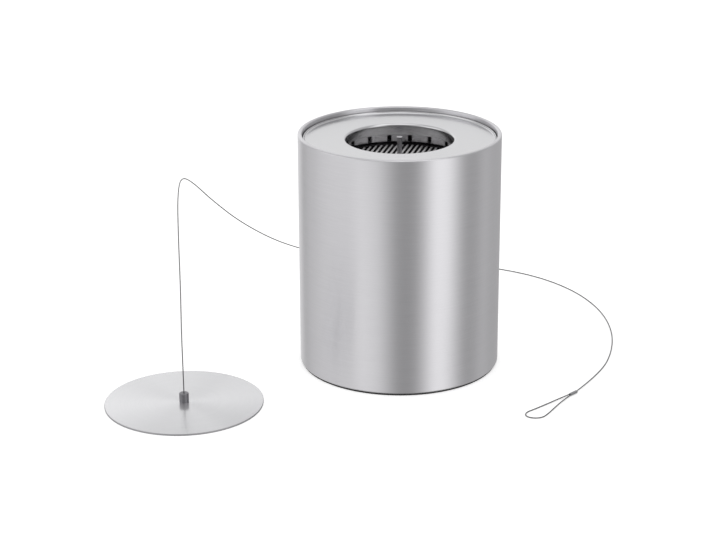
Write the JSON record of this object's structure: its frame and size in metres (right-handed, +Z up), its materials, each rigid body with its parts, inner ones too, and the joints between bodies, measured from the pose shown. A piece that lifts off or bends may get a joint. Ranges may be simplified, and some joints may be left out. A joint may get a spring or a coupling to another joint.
{
  "type": "tabletop fireplace",
  "caption": "Round drawn-steel tabletop fireplace with a lift-off cover plate, a spirit burner with slotted air ring and wire grille, and a loose snuffer disc on a long springy wire.",
  "frame": {"origin": "on the pot's axis, on the face that the pot stands on", "axes": "+Z up along the pot's axis; -X points towards the side where the loose snuffer lies; -Y is the front"},
  "size_m": [0.4347, 0.4188, 0.202],
  "materials": {
    "brushed_steel": "fine brushed",
    "sheet_steel": "mill finish",
    "turned_steel": "turned",
    "fasteners": "bright stainless",
    "mesh": "drawn wire",
    "wire_rope": "stranded wire",
    "crimp": "pressed",
    "wool": "mineral wool",
    "foot_pad": "matt"
  },
  "bodies": {
    "pot": {"pot_shell": "brushed_steel", "base_pad": "foot_pad", "cover_lugs": "sheet_steel", "carrier_lugs": "sheet_steel", "burner_carrier": "sheet_steel", "carrier_screws": "fasteners"},
    "burner": {"burner_cup": "sheet_steel", "air_ring": "sheet_steel", "ring_rivets": "fasteners", "fuel_wool": "wool", "grille_mesh": "mesh", "grille_frame": "sheet_steel", "centre_post": "fasteners", "post_cap": "fasteners", "post_foot": "sheet_steel", "base_nut": "fasteners", "grille_nuts": "fasteners", "grille_washers": "fasteners"},
    "cover": {"cover_plate": "brushed_steel"},
    "snuffer": {"snuffer_disc": "brushed_steel", "snuffer_hub": "turned_steel", "hub_screw": "fasteners", "snuffer_wire": "wire_rope", "wire_ferrule": "crimp", "wire_loop": "wire_rope"}
  },
  "joints": [
    {"name": "burner_lift", "type": "slide", "parent": "pot", "child": "burner", "axis": [0, 0, 1], "range_m": [0, 0.1]},
    {"name": "cover_lift", "type": "slide", "parent": "burner", "child": "cover", "axis": [0, 0, 1], "range_m": [0, 0.03]},
    {"name": "snuffer_lift", "type": "slide", "parent": "pot", "child": "snuffer", "axis": [0, 0, 1], "range_m": [0, 0.22]}
  ]
}
